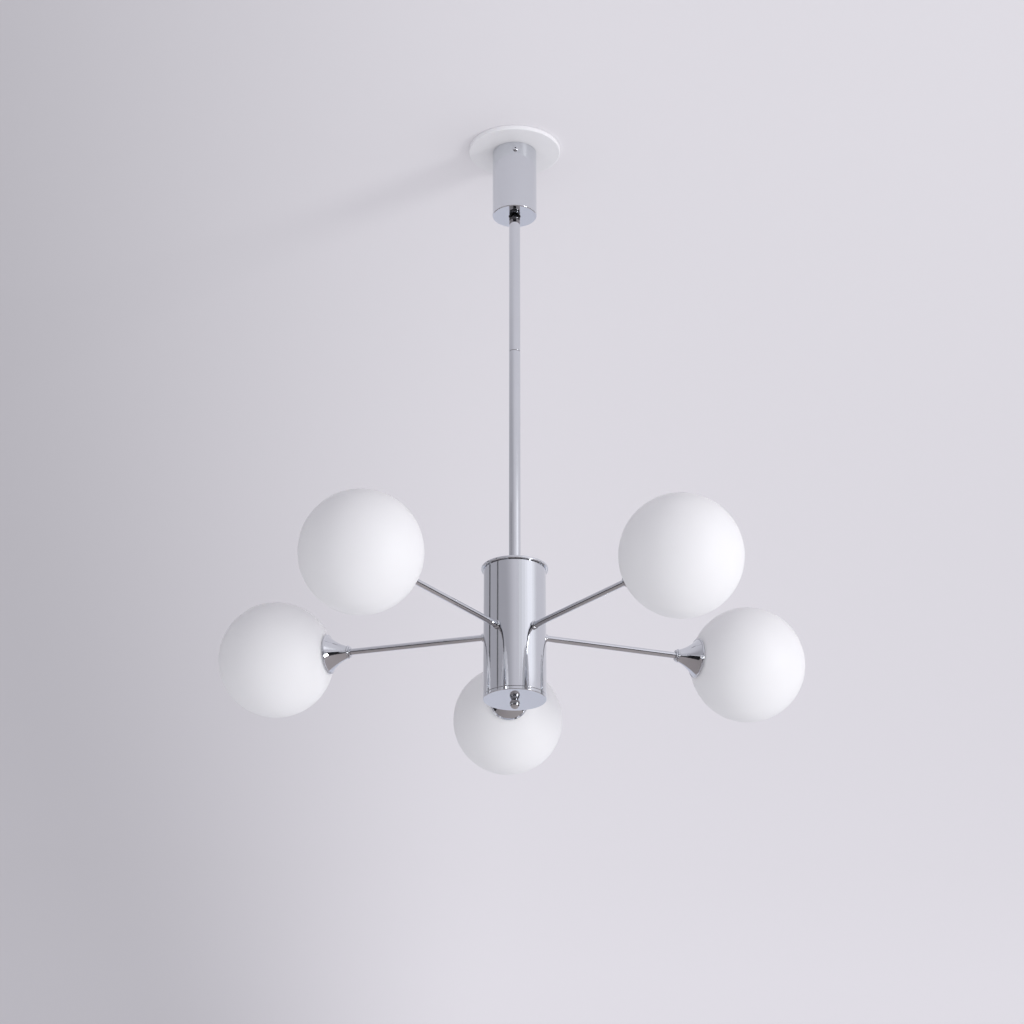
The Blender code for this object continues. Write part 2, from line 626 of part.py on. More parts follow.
def build_arms(drum, hub):
    collar = turned_mesh("arm_root_collar", root_collar_outline(), THIN)
    tube = turned_mesh("arm_tube", tube_outline(ARM_D / 2, ARM_D / 2 - ARM_WALL, ARM_END, ARM_START), THIN)
    bead = turned_mesh("cup_bead", bead_outline(), NARROW)
    cup = turned_mesh("bell_cup", cup_outline(), MIDDLE - 6)
    holder = turned_mesh("lampholder", holder_outline(), THIN)
    gasket_outline = tube_outline(GLOBE_NECK_R, GLOBE_NECK_BORE_R, GASKET_START + GASKET_T, GASKET_START)
    gasket = turned_mesh("globe_gasket", gasket_outline, THIN)
    globe = turned_mesh("glass_globe", globe_outline(), MIDDLE)
    lamp = turned_mesh("lamp", lamp_outline(), THIN)

    for k in range(ARMS):
        bearing = math.pi / 2 + math.tau * k / ARMS
        axis = empty(f"arm_{k + 1}_axis", (0, 0, ARM_Z), (0, math.pi / 2, bearing), drum_axis)
        hole = rod_cutter(f"arm_hole_{k + 1}", ARM_HOLE_R, ARM_START - WIDE_EDGE, BODY_D / 2 + RUN,
                          parent=axis)
        cut(drum, hole)
        cut(hub, hole)
        place(f"arm_{k + 1}_tube", tube, CHROME, parent=axis)
        place(f"arm_{k + 1}_root_collar", collar, CHROME, parent=axis)
        place(f"arm_{k + 1}_cup_bead", bead, CHROME, parent=axis)
        place(f"arm_{k + 1}_bell_cup", cup, CHROME, parent=axis)
        place(f"arm_{k + 1}_globe_gasket", gasket, SILICONE, parent=axis)
        place(f"arm_{k + 1}_glass_globe", globe, OPAL, parent=axis)
        socket = place(f"arm_{k + 1}_lampholder", holder, CERAMIC, parent=axis)
        bulb = place(f"arm_{k + 1}_lamp", lamp, LAMP_PLASTIC, parent=axis)
        for side in (-1, 1):
            at = (0, side * PIN_PITCH / 2, 0)
            pin = rod_cutter(f"pin_{k + 1}_{side}", PIN_D / 2, LAMP_START - PIN_L, LAMP_START + PIN_ROOT,
                             at=at, parent=axis, sides=8)
            boolean(bulb, pin, "UNION")
            hole = rod_cutter(f"pin_hole_{k + 1}_{side}", PIN_D / 2 + SLACK,
                              LAMP_START - PIN_L - PIN_AIR, LAMP_START + RUN, at=at, parent=axis, sides=8)
            cut(socket, hole)


# ---------------------------------------------------------------- assembly
build_canopy(build_mounting())
build_swivel()
build_rods()
build_arms(*build_drum())
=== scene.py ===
"""Five-arm globe chandelier, hung from a pale ceiling: chrome metalwork, opal glass globes.

Metres, in the frame's own axes: z = 0 is the ceiling, and arm 1 points along +Y.
"""

import json
import math

import bmesh
import bpy
from mathutils import Matrix, Vector


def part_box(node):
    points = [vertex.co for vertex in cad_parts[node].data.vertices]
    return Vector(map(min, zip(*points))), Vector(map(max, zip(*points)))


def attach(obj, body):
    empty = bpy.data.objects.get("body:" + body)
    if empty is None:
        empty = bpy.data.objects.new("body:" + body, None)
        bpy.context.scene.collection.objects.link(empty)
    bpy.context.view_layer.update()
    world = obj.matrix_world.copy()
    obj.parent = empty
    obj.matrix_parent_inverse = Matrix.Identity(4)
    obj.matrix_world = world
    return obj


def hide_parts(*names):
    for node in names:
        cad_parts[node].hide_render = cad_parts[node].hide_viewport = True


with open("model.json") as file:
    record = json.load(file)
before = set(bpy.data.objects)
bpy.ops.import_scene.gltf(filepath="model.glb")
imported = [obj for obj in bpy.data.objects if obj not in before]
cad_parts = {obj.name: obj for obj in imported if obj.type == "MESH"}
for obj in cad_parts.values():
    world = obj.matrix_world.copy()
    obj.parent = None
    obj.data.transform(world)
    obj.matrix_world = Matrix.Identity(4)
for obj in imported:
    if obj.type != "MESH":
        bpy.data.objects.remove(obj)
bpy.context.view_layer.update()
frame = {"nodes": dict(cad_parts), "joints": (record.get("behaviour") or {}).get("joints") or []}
scene = bpy.context.scene
MM = 0.001


# ---------------------------------------------------------------- camera
# A long lens low down in front of the fixture, tilted up so that the ceiling fills the frame behind it.
camera_lens = 97.18
camera_place = (-0.0989, -3.2759, -2.0056)
camera_tilt_up = 23.991
camera_turn = -1.667

camera_data = bpy.data.cameras.new("camera")
camera_data.sensor_width = 36
camera_data.lens = camera_lens
camera_data.clip_end = 60
camera = bpy.data.objects.new("camera", camera_data)
camera.location = camera_place
camera.rotation_euler = (math.radians(90 + camera_tilt_up), 0, math.radians(camera_turn))
scene.collection.objects.link(camera)
scene.camera = camera
scene.view_settings.view_transform = "Standard"


# ---------------------------------------------------------------- room and light
# White ceiling and pale floor, light from all round that is weaker on the left, and one soft box low on the
# right. Polished metal alone also shows painted reflections: black curtains behind the camera and at both sides, a
# pale screen at the far end, and dark and bright glowing strips under the ceiling; they draw its lines.
floor_z = -2.60
floor_half = 40.0
ceiling_half = 9.0
# painted shade on the ceiling: its paint runs from the darker colour on the left to the lighter one on the right
ceiling_shaded_left = (0.53, 0.522, 0.540)
ceiling_lit_right = (0.82, 0.807, 0.825)
floor_colour = (0.58, 0.53, 0.495)
sky_colour = (0.95, 0.94, 0.995)
sky_dark, sky_bright = 0.70, 1.14
bright_side = (0.8, -0.6, 0)
sky_under, sky_level = 0.84, 1.12
soft_box_place = (3.4, -2.6, -1.43)
soft_box_size = 0.95
soft_box_spread = 70
soft_box_watts = 8
curtain_y, curtain_low, curtain_high = -3.6, -2.6, -0.62
side_x, side_low, side_high = 4.0, -2.2, -0.85
screen_y, screen_colour = 3.4, (0.78, 0.80, 0.85)
# painted reflection strips: bearing from the camera's side and width in degrees, then brightness; the bright ones
# narrow step by step
strips = ((-106, 7, 0.10), (-67, 6, 0.16), (48, 70, 0.84), (51, 54, 0.95), (54, 36, 1.07), (55, 20, 1.18))


def new_material(name):
    material = bpy.data.materials.new(name)
    material.use_nodes = True
    nodes, links = material.node_tree.nodes, material.node_tree.links
    return material, nodes, links, nodes["Principled BSDF"]


def stage_plane(name, corners, material):
    mesh = bpy.data.meshes.new(name)
    mesh.from_pydata(corners, [], [(0, 1, 2, 3)])
    mesh.materials.append(material)
    plane = bpy.data.objects.new(name, mesh)
    scene.collection.objects.link(plane)
    return plane


# the floor is left out of the way of the light from below
floor_paint, nodes, links, shader = new_material("Floor_paint")
shader.inputs["Base Color"].default_value = (*floor_colour, 1)
shader.inputs["Roughness"].default_value = 0.8
a = floor_half
floor = stage_plane("floor", [(-a, -a, floor_z), (a, -a, floor_z), (a, a, floor_z), (-a, a, floor_z)], floor_paint)
floor.visible_diffuse = floor.visible_shadow = False

# the ceiling shows only from below, so that a look from above isn't shut out, and is open over the plate. Its paint
# carries painted shade: darker on the left, lighter on the right and lighter farther away
ceiling_paint, nodes, links, shader = new_material("Ceiling_paint")
where = nodes.new("ShaderNodeTexCoord")
parts = nodes.new("ShaderNodeSeparateXYZ")
across = nodes.new("ShaderNodeMapRange")
across.interpolation_type = "SMOOTHSTEP"
across.inputs["From Min"].default_value = -1.0
across.inputs["From Max"].default_value = 0.1
shade = nodes.new("ShaderNodeMix")
shade.data_type = "RGBA"
shade.inputs[6].default_value = (*ceiling_shaded_left, 1)
shade.inputs[7].default_value = (*ceiling_lit_right, 1)
shader.inputs["Roughness"].default_value = 0.85
shader.inputs["Specular IOR Level"].default_value = 0.2
see_through = nodes.new("ShaderNodeBsdfTransparent")
which_side = nodes.new("ShaderNodeNewGeometry")
either = nodes.new("ShaderNodeMixShader")
links.new(where.outputs["Object"], parts.inputs[0])
links.new(parts.outputs["X"], across.inputs["Value"])
links.new(across.outputs["Result"], shade.inputs["Factor"])
# painted light: the ceiling's colour grows lighter farther away
away = nodes.new("ShaderNodeMapRange")
away.inputs["From Min"].default_value = -0.5
away.inputs["From Max"].default_value = 4.5
away.inputs["To Min"].default_value = 0.97
away.inputs["To Max"].default_value = 1.12
lighter = nodes.new("ShaderNodeVectorMath")
lighter.operation = "SCALE"
links.new(parts.outputs["Y"], away.inputs["Value"])
links.new(shade.outputs[2], lighter.inputs[0])
links.new(away.outputs["Result"], lighter.inputs["Scale"])
links.new(lighter.outputs[0], shader.inputs["Base Color"])
links.new(which_side.outputs["Backfacing"], either.inputs[0])
links.new(shader.outputs["BSDF"], either.inputs[1])
links.new(see_through.outputs["BSDF"], either.inputs[2])
links.new(either.outputs[0], nodes["Material Output"].inputs["Surface"])
h, hole, a = 0.4 * MM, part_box("ceiling_plate")[1].x - 1 * MM, ceiling_half
rim = [(math.sin(math.tau * i / 64), math.cos(math.tau * i / 64)) for i in range(64)]
mesh = bpy.data.meshes.new("ceiling")
mesh.from_pydata([(x * r, y * r, h) for r in (hole, a * 1.4) for x, y in rim], [],
                 [(i, 64 + i, 64 + (i + 1) % 64, (i + 1) % 64) for i in range(64)])
mesh.materials.append(ceiling_paint)
ceiling = bpy.data.objects.new("ceiling", mesh)
scene.collection.objects.link(ceiling)

curtain_black, nodes, links, shader = new_material("Curtain_black")
shader.inputs["Base Color"].default_value = (0.01, 0.01, 0.012, 1)
shader.inputs["Roughness"].default_value = 0.9
screen_paint, nodes, links, shader = new_material("Screen_paint")
shader.inputs["Base Color"].default_value = (*screen_colour, 1)
shader.inputs["Roughness"].default_value = 0.9
cards = []
for name, near, far, low, high, cloth in (
        ("curtain_behind", (-4, curtain_y), (4, curtain_y), curtain_low, curtain_high, curtain_black),
        ("curtain_left", (-side_x, -1.2), (-side_x, 2.6), side_low, side_high, curtain_black),
        ("curtain_right", (side_x, -1.2), (side_x, 2.6), side_low, side_high, curtain_black),
        ("screen", (-4, screen_y), (4, screen_y), floor_z, -0.15, screen_paint)):
    cards.append(stage_plane(name, [(*near, low), (*far, low), (*far, high), (*near, high)], cloth))
# painted reflections: strips that glow, though they are no lamps, seen only in polished metal
for i, (bearing, width, brightness) in enumerate(strips):
    glow, nodes, links, shader = new_material(f"Painted_reflection_strip_{i + 1}")
    shader.inputs["Base Color"].default_value = (0, 0, 0, 1)
    shader.inputs["Specular IOR Level"].default_value = 0
    shader.inputs["Emission Color"].default_value = (*sky_colour, 1)
    shader.inputs["Emission Strength"].default_value = brightness
    corners = []
    for r, side in ((1.2, -0.5), (1.2, 0.5), (2.2, 0.5), (2.2, -0.5)):
        a = math.radians(bearing + side * width)
        corners.append((r * math.sin(a), -r * math.cos(a), -(i + 2) * h))
    cards.append(stage_plane(f"strip_{i + 1}", corners, glow))
# curtains, screen and strips are painted reflections: the camera doesn't see them, and they light nothing and cast no
# shadow
for card in cards:
    card.visible_camera = card.visible_diffuse = card.visible_shadow = False

world = bpy.data.worlds.new("room_light")
scene.world = world
world.use_nodes = True
nodes, links = world.node_tree.nodes, world.node_tree.links
where = nodes.new("ShaderNodeTexCoord")
parts = nodes.new("ShaderNodeSeparateXYZ")
across = nodes.new("ShaderNodeMapRange")
across.interpolation_type = "SMOOTHSTEP"
across.inputs["From Min"].default_value = -1.0
across.inputs["To Min"].default_value = sky_dark
across.inputs["To Max"].default_value = sky_bright
toward = nodes.new("ShaderNodeVectorMath")
toward.operation = "DOT_PRODUCT"
toward.inputs[1].default_value = bright_side
links.new(where.outputs["Generated"], parts.inputs[0])
links.new(where.outputs["Generated"], toward.inputs[0])
links.new(toward.outputs["Value"], across.inputs["Value"])
downward = nodes.new("ShaderNodeMapRange")
downward.inputs["From Min"].default_value = -1.0
downward.inputs["From Max"].default_value = 0.0
downward.inputs["To Min"].default_value = sky_under
downward.inputs["To Max"].default_value = sky_level
strength = nodes.new("ShaderNodeMath")
strength.operation = "MULTIPLY"
links.new(parts.outputs["Z"], downward.inputs["Value"])
links.new(across.outputs["Result"], strength.inputs[0])
links.new(downward.outputs["Result"], strength.inputs[1])
links.new(strength.outputs[0], nodes["Background"].inputs["Strength"])
nodes["Background"].inputs["Color"].default_value = (*sky_colour, 1)

box_light = bpy.data.lights.new("soft_box", "AREA")
box_light.shape = "SQUARE"
box_light.size = soft_box_size
box_light.spread = math.radians(soft_box_spread)
box_light.energy = soft_box_watts
soft_box = bpy.data.objects.new("soft_box", box_light)
soft_box.location = soft_box_place
soft_box.rotation_euler = (Vector((0, 0, -0.45)) - soft_box.location).to_track_quat("-Z", "Y").to_euler()
soft_box.visible_camera = False
scene.collection.objects.link(soft_box)


# ---------------------------------------------------------------- ceiling plate
# Steel disc with a white powder coat, screwed to the ceiling through two slots. The bar below it is held
# by two screws, and the supply cable comes through a round hole beside the bar.
plate_edge = 1.4 * MM
plate_top_edge = 0.5 * MM
slot_width = 4.5 * MM
slot_length = 7.5 * MM
head_margin = 0.7 * MM
cable_hole = 10 * MM
cable_hole_margin = 1 * MM
powder_white = (0.82, 0.82, 0.83)
powder_grain = 620.0


def eased(outline, steps=5):
    """Corner points that carry a third value are rounded to that radius."""
    smooth = []
    for i, point in enumerate(outline):
        here = Vector(point[:2])
        if len(point) < 3:
            smooth.append(tuple(here))
            continue
        before = (Vector(outline[i - 1][:2]) - here).normalized()
        after = (Vector(outline[(i + 1) % len(outline)][:2]) - here).normalized()
        half = before.angle(after) / 2
        centre = here + (before + after).normalized() * (point[2] / math.sin(half))
        start = here + before * (point[2] / math.tan(half)) - centre
        end = here + after * (point[2] / math.tan(half)) - centre
        turn = math.atan2(start.x * end.y - start.y * end.x, start.dot(end))
        for s in range(steps + 1):
            c, q = math.cos(turn * s / steps), math.sin(turn * s / steps)
            smooth.append((centre.x + start.x * c - start.y * q, centre.y + start.x * q + start.y * c))
    return smooth


def turned(name, outline, material, steps=96, along=(0, 0, 1), centre=(0, 0, 0), hold=0.15 * MM):
    """Lathe-turned piece from (radius, distance) points. Long runs get a loop near each end, to keep them true."""
    closed = outline[0][0] > 0 and outline[-1][0] > 0
    ring = [*outline, outline[0]] if closed else outline
    points = [ring[0]]
    for here, there in zip(ring, ring[1:]):
        length = math.dist(here, there)
        if length > 5 * hold:
            for t in (hold / length, 1 - hold / length):
                points.append((here[0] + (there[0] - here[0]) * t, here[1] + (there[1] - here[1]) * t))
        points.append(there)
    if closed:
        points.pop()
    axis = Vector(along).normalized()
    u = Vector((1, 0, 0)) if abs(axis.z) > 0.9 else Vector((0, 0, 1))
    v = axis.cross(u)
    shape = bmesh.new()
    rows = []
    for radius, distance in points:
        middle = Vector(centre) + axis * distance
        if radius < 1e-7:
            rows.append([shape.verts.new(middle)] * steps)
        else:
            rows.append([shape.verts.new(middle + u * (radius * math.cos(math.tau * i / steps))
                                         + v * (radius * math.sin(math.tau * i / steps))) for i in range(steps)])
    for near, far in zip(rows, rows[1:] + (rows[:1] if closed else [])):
        for i in range(steps):
            j = (i + 1) % steps
            corners = list(dict.fromkeys((near[i], near[j], far[j], far[i])))
            if len(corners) > 2:
                shape.faces.new(corners)
    bmesh.ops.recalc_face_normals(shape, faces=shape.faces[:])
    return finished(name, shape, material)


def finished(name, shape, material, corner=35):
    """Mesh object from a bmesh, smooth except over corners sharper than `corner` degrees."""
    mesh = bpy.data.meshes.new(name)
    shape.to_mesh(mesh)
    shape.free()
    mesh.shade_smooth()
    mesh.set_sharp_from_angle(angle=math.radians(corner))
    mesh.materials.append(material)
    piece = bpy.data.objects.new(name, mesh)
    scene.collection.objects.link(piece)
    return piece


def slot_cutter(centre, width, length, low, high, steps=16, turn=None):
    """Round-ended slot to cut with, long side along Y; a round hole where both sides are equal."""
    shape = bmesh.new()
    half = (length - width) / 2
    rim = []
    for i in range(2 * steps):
        a = math.pi * (i + 0.5) / steps
        rim.append((width / 2 * math.cos(a), width / 2 * math.sin(a) + math.copysign(half, math.sin(a))))
    lower = [shape.verts.new((x, y, low)) for x, y in rim]
    upper = [shape.verts.new((x, y, high)) for x, y in rim]
    shape.faces.new(lower[::-1])
    shape.faces.new(upper)
    for i in range(len(rim)):
        j = (i + 1) % len(rim)
        shape.faces.new((lower[i], lower[j], upper[j], upper[i]))
    place = Matrix.Translation(centre) @ (turn or Matrix.Identity(4))
    bmesh.ops.transform(shape, matrix=place, verts=shape.verts[:])
    mesh = bpy.data.meshes.new("cutter")
    shape.to_mesh(mesh)
    shape.free()
    cutter = bpy.data.objects.new("cutter", mesh)
    scene.collection.objects.link(cutter)
    return cutter


def baked(piece):
    """Turns what the modifiers make into the piece's own plain mesh."""
    made = bpy.data.meshes.new_from_object(piece.evaluated_get(bpy.context.evaluated_depsgraph_get()))
    piece.modifiers.clear()
    old = piece.data
    piece.data = made
    made.name = piece.name
    bpy.data.meshes.remove(old)
    return piece


def cut_out(piece, cutters, corner=35):
    for cutter in cutters:
        cutting = piece.modifiers.new("cut", "BOOLEAN")
        cutting.operation, cutting.solver, cutting.object = "DIFFERENCE", "EXACT", cutter
    baked(piece)
    for cutter in cutters:
        bpy.data.objects.remove(cutter)
    piece.data.set_sharp_from_angle(angle=math.radians(corner))
    return piece


def grain(nodes, links, shader, scale, height, detail=2.0, strength=1.0, under=None):
    """Bump from fine noise in object space: `height` metres over features of 1/`scale` metres."""
    where = nodes.new("ShaderNodeTexCoord")
    noise = nodes.new("ShaderNodeTexNoise")
    noise.inputs["Scale"].default_value = scale
    noise.inputs["Detail"].default_value = detail
    bump = nodes.new("ShaderNodeBump")
    bump.inputs["Strength"].default_value = strength
    bump.inputs["Distance"].default_value = height
    links.new(where.outputs["Object"], noise.inputs["Vector"])
    links.new(noise.outputs["Fac"], bump.inputs["Height"])
    if under:
        links.new(under.outputs["Normal"], bump.inputs["Normal"])
    links.new(bump.outputs["Normal"], shader.inputs["Normal"])
    return bump


def varied(nodes, links, socket, scale, low, high, detail=3.0):
    """Slow object-space noise drives a shader socket between two values, or two colours."""
    where = nodes.new("ShaderNodeTexCoord")
    noise = nodes.new("ShaderNodeTexNoise")
    noise.inputs["Scale"].default_value = scale
    noise.inputs["Detail"].default_value = detail
    ramp = nodes.new("ShaderNodeValToRGB")
    ramp.color_ramp.elements[0].position = 0.3
    ramp.color_ramp.elements[1].position = 0.7
    ramp.color_ramp.elements[0].color = (*low, 1) if isinstance(low, tuple) else (low, low, low, 1)
    ramp.color_ramp.elements[1].color = (*high, 1) if isinstance(high, tuple) else (high, high, high, 1)
    links.new(where.outputs["Object"], noise.inputs["Vector"])
    links.new(noise.outputs["Fac"], ramp.inputs["Fac"])
    links.new(ramp.outputs["Color"], socket)


white_powder_coat, nodes, links, shader = new_material("White_powder_coat")
varied(nodes, links, shader.inputs["Base Color"], 30, tuple(c * 0.97 for c in powder_white), powder_white)
varied(nodes, links, shader.inputs["Roughness"], 90, 0.36, 0.48)
grain(nodes, links, shader, powder_grain, 0.03 * MM, strength=0.6)

low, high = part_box("ceiling_plate")
plate_r = high.x
screw_low, screw_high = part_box("plate_screw_rear")
screw_at = (screw_low.y + screw_high.y) / 2
screw_head_d = screw_high.x - screw_low.x
canopy_low, canopy_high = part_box("canopy_cup")
canopy_bore = canopy_high.x - 1.5 * MM
plate = turned("Ceiling_plate", eased([(0, high.z), (plate_r, high.z, plate_top_edge), (plate_r, low.z, plate_edge),
                                       (0, low.z)]), white_powder_coat, steps=160)
slot_at = screw_at - (screw_head_d + slot_length) / 2 - head_margin
screw_hole = 4.6 * MM
hole_at = canopy_bore - cable_hole / 2 - cable_hole_margin
holes = [slot_cutter((0, side * slot_at, 0), slot_width, slot_length, low.z - MM, high.z + MM) for side in (-1, 1)]
holes += [slot_cutter((0, side * screw_at, 0), screw_hole, screw_hole, low.z - MM, high.z + MM) for side in (-1, 1)]
diagonal = math.sqrt(0.5)
holes.append(slot_cutter((hole_at * diagonal, hole_at * diagonal, 0), cable_hole, cable_hole,
                         low.z - MM, high.z + MM, steps=24))
cut_out(plate, holes)
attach(plate, "ceiling_fixing")
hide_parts("ceiling_plate")


# ---------------------------------------------------------------- mounting bar and its screws
# Zinc-plated steel strip with its ends turned down, held under the plate by two M4 pan-head screws.
# The ends are tapped for the canopy's screws.
zinc_colour = (0.56, 0.57, 0.57)
thread_depth = 0.25 * MM
screw_pitch = 0.7 * MM

zinc_steel, nodes, links, shader = new_material("Zinc_plated_steel")
shader.inputs["Metallic"].default_value = 1.0
varied(nodes, links, shader.inputs["Base Color"], 160, tuple(c * 0.9 for c in zinc_colour), zinc_colour)
varied(nodes, links, shader.inputs["Roughness"], 60, 0.28, 0.46)
grain(nodes, links, shader, 900, 0.012 * MM, strength=0.5)


def thread_tree():
    """Helical ridge round Z: radius, pitch, turns, how far the ridge stands out, and its finish."""
    tree = bpy.data.node_groups.new("Helical_thread", "GeometryNodeTree")
    face = tree.interface
    face.new_socket("Geometry", in_out="INPUT", socket_type="NodeSocketGeometry")
    for label in ("Radius", "Pitch", "Length", "Ridge"):
        face.new_socket(label, in_out="INPUT", socket_type="NodeSocketFloat")
    face.new_socket("Finish", in_out="INPUT", socket_type="NodeSocketMaterial")
    face.new_socket("Geometry", in_out="OUTPUT", socket_type="NodeSocketGeometry")
    add, link = tree.nodes.new, tree.links.new
    given, out = add("NodeGroupInput"), add("NodeGroupOutput")
    turns = add("ShaderNodeMath")
    turns.operation = "DIVIDE"
    link(given.outputs["Length"], turns.inputs[0])
    link(given.outputs["Pitch"], turns.inputs[1])
    helix = add("GeometryNodeCurveSpiral")
    helix.inputs["Resolution"].default_value = 40
    link(turns.outputs[0], helix.inputs["Rotations"])
    link(given.outputs["Radius"], helix.inputs["Start Radius"])
    link(given.outputs["Radius"], helix.inputs["End Radius"])
    link(given.outputs["Length"], helix.inputs["Height"])
    ridge = add("GeometryNodeCurvePrimitiveCircle")
    ridge.inputs["Resolution"].default_value = 6
    link(given.outputs["Ridge"], ridge.inputs["Radius"])
    sweep = add("GeometryNodeCurveToMesh")
    sweep.inputs["Fill Caps"].default_value = True
    link(helix.outputs["Curve"], sweep.inputs["Curve"])
    link(ridge.outputs["Curve"], sweep.inputs["Profile Curve"])
    both = add("GeometryNodeJoinGeometry")
    link(given.outputs["Geometry"], both.inputs[0])
    link(sweep.outputs["Mesh"], both.inputs[0])
    real = add("GeometryNodeRealizeInstances")
    link(both.outputs[0], real.inputs[0])
    finish = add("GeometryNodeSetMaterial")
    link(real.outputs[0], finish.inputs["Geometry"])
    link(given.outputs["Finish"], finish.inputs["Material"])
    link(finish.outputs[0], out.inputs[0])
    return tree


def grown(piece, tree, **values):
    """Runs a geometry tree on the piece with these named inputs, and keeps the result as its mesh."""
    growing = piece.modifiers.new(tree.name, "NODES")
    growing.node_group = tree
    for item in tree.interface.items_tree:
        if item.item_type == "SOCKET" and item.in_out == "INPUT" and item.name in values:
            growing[item.identifier] = values[item.name]
    return baked(piece)


def moved(piece, matrix):
    piece.data.transform(matrix)
    return piece


helical_thread = thread_tree()
for side, word in ((-1, "front"), (1, "rear")):
    low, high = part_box(f"plate_screw_{word}")
    head_r, shank_r = (high.x - low.x) / 2, 2 * MM
    head_top = low.z + 2.4 * MM
    shank_length = high.z - head_top
    outline = eased([(0, shank_length), (shank_r - thread_depth, shank_length, 0.4 * MM), (shank_r - thread_depth, 0),
                     (head_r, 0, 0.3 * MM), (head_r * 0.98, -1.4 * MM, 1.0 * MM), (0, -2.4 * MM)])
    screw = turned(f"Plate_screw_{word}", outline, zinc_steel, steps=40)
    recess = [slot_cutter((0, 0, 0), 0.9 * MM, 4.2 * MM, -3 * MM, -1.3 * MM, turn=Matrix.Rotation(t, 4, "Z"))
              for t in (0, math.pi / 2)]
    cut_out(screw, recess)
    moved(screw, Matrix.Translation((0, 0, -0.5 * MM)))
    grown(screw, helical_thread, Radius=shank_r - thread_depth, Pitch=screw_pitch, Length=shank_length - 1.2 * MM,
          Ridge=thread_depth, Finish=zinc_steel)
    moved(screw, Matrix.Translation((0, side * screw_at, head_top + 0.5 * MM)))
    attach(screw, "ceiling_fixing")
    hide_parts(f"plate_screw_{word}")
frame["nodes"]["mounting_bar"].data.materials.clear()
frame["nodes"]["mounting_bar"].data.materials.append(zinc_steel)


# ---------------------------------------------------------------- terminal block
# Moulded three-way cable connector, pegged under the bar, hidden by the canopy.
block_plastic, nodes, links, shader = new_material("Milky_plastic")
varied(nodes, links, shader.inputs["Base Color"], 50, (0.72, 0.72, 0.69), (0.80, 0.80, 0.77))
shader.inputs["Roughness"].default_value = 0.45
shader.inputs["Subsurface Weight"].default_value = 0.15
shader.inputs["Subsurface Scale"].default_value = 0.004
grain(nodes, links, shader, 1400, 0.01 * MM)
frame["nodes"]["terminal_block"].data.materials.clear()
frame["nodes"]["terminal_block"].data.materials.append(block_plastic)


# ---------------------------------------------------------------- canopy cup
# Deep-drawn steel cup, polished and chrome-plated, that hides the wiring. Its thickened floor is the seat of
# the hang-straight ball joint, and two screws in its side hold it to the bar.
canopy_edge = 1.0 * MM
canopy_floor = 2 * MM
seat_r = 11.6 * MM
seat_wall = 3.5 * MM
seat_lip = 1.2 * MM
seat_top = math.radians(80)
chrome_colour = (0.71, 0.73, 0.765)
chrome_gloss = (0.035, 0.075)


def ball_arc(radius, start, end, steps, centre):
    """Points on a ball's side, angles from its lowest point."""
    return [(radius * math.sin(start + (end - start) * i / steps), centre - radius * math.cos(start + (end - start) * i / steps))
            for i in range(steps + 1)]


chrome, nodes, links, shader = new_material("Chrome_plate")
shader.inputs["Metallic"].default_value = 1.0
varied(nodes, links, shader.inputs["Base Color"], 14, tuple(c * 0.975 for c in chrome_colour), chrome_colour)
varied(nodes, links, shader.inputs["Roughness"], 22, *chrome_gloss)
ripple = grain(nodes, links, shader, 16, 0.05 * MM, detail=0.0)
grain(nodes, links, shader, 2400, 0.0012 * MM, strength=0.5, under=ripple)

ball_z = frame["joints"][0]["pos_m"][2]
low, high = canopy_low, canopy_high
canopy_r = high.x
seat_open = math.acos((ball_z - low.z - seat_lip) / seat_r)
seat = ball_arc(seat_r, seat_open, seat_top, 16, ball_z)
outline = [(canopy_r, high.z, 0.3 * MM), (canopy_r, low.z, canopy_edge), (seat[0][0] + 0.4 * MM, low.z, 0.2 * MM)]
outline = eased([*outline, *seat, (seat_r + seat_wall, seat[-1][1], 0.3 * MM), (seat_r + seat_wall, low.z + canopy_floor),
                 (canopy_bore, low.z + canopy_floor, 0.8 * MM), (canopy_bore, high.z)])
canopy = turned("Canopy_cup", outline, chrome, steps=160)
canopy_screw_z = sum((b.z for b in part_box("canopy_screw_front")), 0) / 2
sideways = Matrix.Rotation(math.pi / 2, 4, "X")
cut_out(canopy, [slot_cutter((0, side * canopy_r, canopy_screw_z), 4.8 * MM, 4.8 * MM, -5 * MM, 5 * MM, turn=sideways)
                 for side in (-1, 1)])
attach(canopy, "ceiling_fixing")
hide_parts("canopy_cup")


# ---------------------------------------------------------------- canopy screws
# Two domed chrome screws with a hexagon socket, through the canopy's side into the bar's ends.
hex_across = 2.6 * MM

for side, word in ((-1, "front"), (1, "rear")):
    low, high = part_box(f"canopy_screw_{word}")
    head_r, head_h, shank_r = (high.x - low.x) / 2, 2.4 * MM, 2 * MM
    shank_length = (high.y - low.y) - head_h
    dome = [(head_r * math.cos(math.pi / 2 * i / 8), -0.9 * MM - 1.5 * MM * math.sin(math.pi / 2 * i / 8))
            for i in range(9)]
    outline = eased([(0, shank_length), (shank_r, shank_length, 0.4 * MM), (shank_r, 0), (head_r, 0, 0.2 * MM)]) + dome
    outline[-1] = (0, -head_h)
    screw = turned(f"Canopy_screw_{word}", outline, chrome, steps=48)
    socket_hole = slot_cutter((0, 0, 0), hex_across, hex_across, -3 * MM, -1.0 * MM, steps=3)
    cut_out(screw, [socket_hole])
    face_y = side * (canopy_r + 0.3 * MM)
    moved(screw, Matrix.Translation((0, face_y, canopy_screw_z)) @ Matrix.Rotation(side * math.pi / 2, 4, "X"))
    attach(screw, "ceiling_fixing")
    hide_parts(f"canopy_screw_{word}")


# ---------------------------------------------------------------- ball joint
# Black nylon washer in the canopy's seat, and in it the chrome ball that carries everything below. Its neck
# runs down to a round collar and a threaded stud inside the rod; the cable runs through the bore.
ball_r = 9 * MM
ball_bore = 3 * MM
neck_r = 5 * MM
collar_side = 0.6

